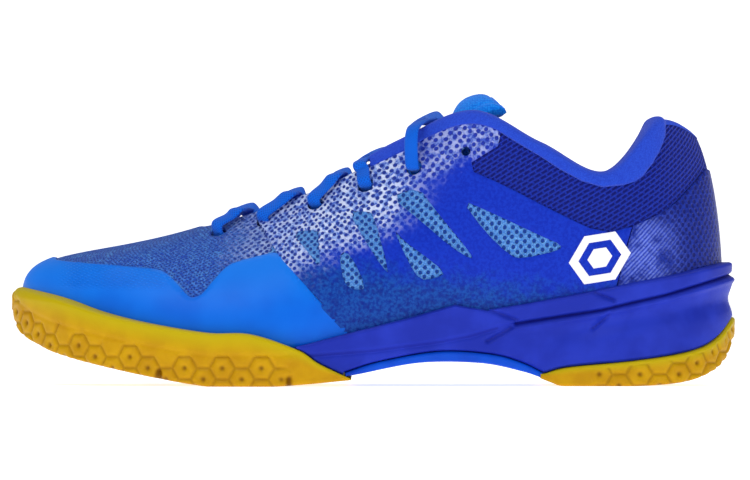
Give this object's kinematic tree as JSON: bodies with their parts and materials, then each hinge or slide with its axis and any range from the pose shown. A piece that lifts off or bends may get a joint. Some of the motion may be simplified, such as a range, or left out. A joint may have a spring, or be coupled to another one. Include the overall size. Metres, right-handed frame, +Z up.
{
  "type": "court shoe",
  "caption": "Low-cut laced indoor court shoe with a split gum rubber sole, moulded foam midsole, mesh upper, padded collar, hinged tongue top and lift-out insole.",
  "frame": {"origin": "on the ground, under the centre of the shoe's bounding box", "axes": "-X towards the toe, +X towards the heel, -Y towards the lateral (outer) side, +Z up"},
  "size_m": [0.29, 0.105, 0.1167],
  "materials": {
    "gum_rubber": "satin",
    "midsole_foam": "satin moulded foam",
    "shank_plastic": "satin",
    "cushion_foam": "matte",
    "board": "stitched fibre board",
    "insole_cloth": "brushed knit over foam",
    "azure_film": "smooth film",
    "violet_film": "printed film",
    "upper_mesh": "knitted mesh",
    "collar_mesh": "ribbed mesh",
    "stiffener": "moulded sheet",
    "lining": "soft knit",
    "padding": "open foam",
    "binding": "soft knit",
    "tongue_cloth": "knit",
    "lace_weave": "flat woven",
    "lace_tip": "clear shrunk film",
    "white_print": "printed"
  },
  "bodies": {
    "shoe": {"outsole_forefoot": "gum_rubber", "outsole_heel": "gum_rubber", "midsole": "midsole_foam", "arch_shank": "shank_plastic", "forefoot_cushion": "cushion_foam", "heel_cushion": "cushion_foam", "lasting_board": "board", "toe_guard": "azure_film", "side_film_lateral": "violet_film", "side_film_medial": "violet_film", "heel_film": "violet_film", "vamp": "upper_mesh", "quarter_lateral": "upper_mesh", "quarter_medial": "upper_mesh", "collar_mesh": "collar_mesh", "toe_puff": "stiffener", "heel_counter": "stiffener", "eyestay_lateral": "stiffener", "eyestay_medial": "stiffener", "vamp_lining": "lining", "lining_lateral": "lining", "lining_medial": "lining", "rear_lining": "lining", "collar_foam": "padding", "collar_binding": "binding", "tongue_face": "tongue_cloth", "tongue_foam": "padding", "tongue_lining": "lining", "lace": "lace_weave", "lace_tail_lateral": "lace_weave", "lace_tail_medial": "lace_weave", "badge_lateral": "white_print", "badge_medial": "white_print"},
    "insole": {"insole": "insole_cloth", "aglet_lateral": "lace_tip", "aglet_medial": "lace_tip"},
    "tongue_top": {"tongue_top": "tongue_cloth"}
  },
  "joints": [
    {"name": "insole_lift", "type": "hinge", "parent": "shoe", "child": "insole", "pos_m": [-0.1327, 0, 0.0285], "axis": [0, -1, 0], "range_deg": [0, 6], "deforming": ["lace_tail_lateral", "lace_tail_medial"]},
    {"name": "tongue_top_fold", "type": "hinge", "parent": "shoe", "child": "tongue_top", "pos_m": [0.0299, 0, 0.1014], "axis": [0, -1, 0], "range_deg": [0, 32]}
  ]
}
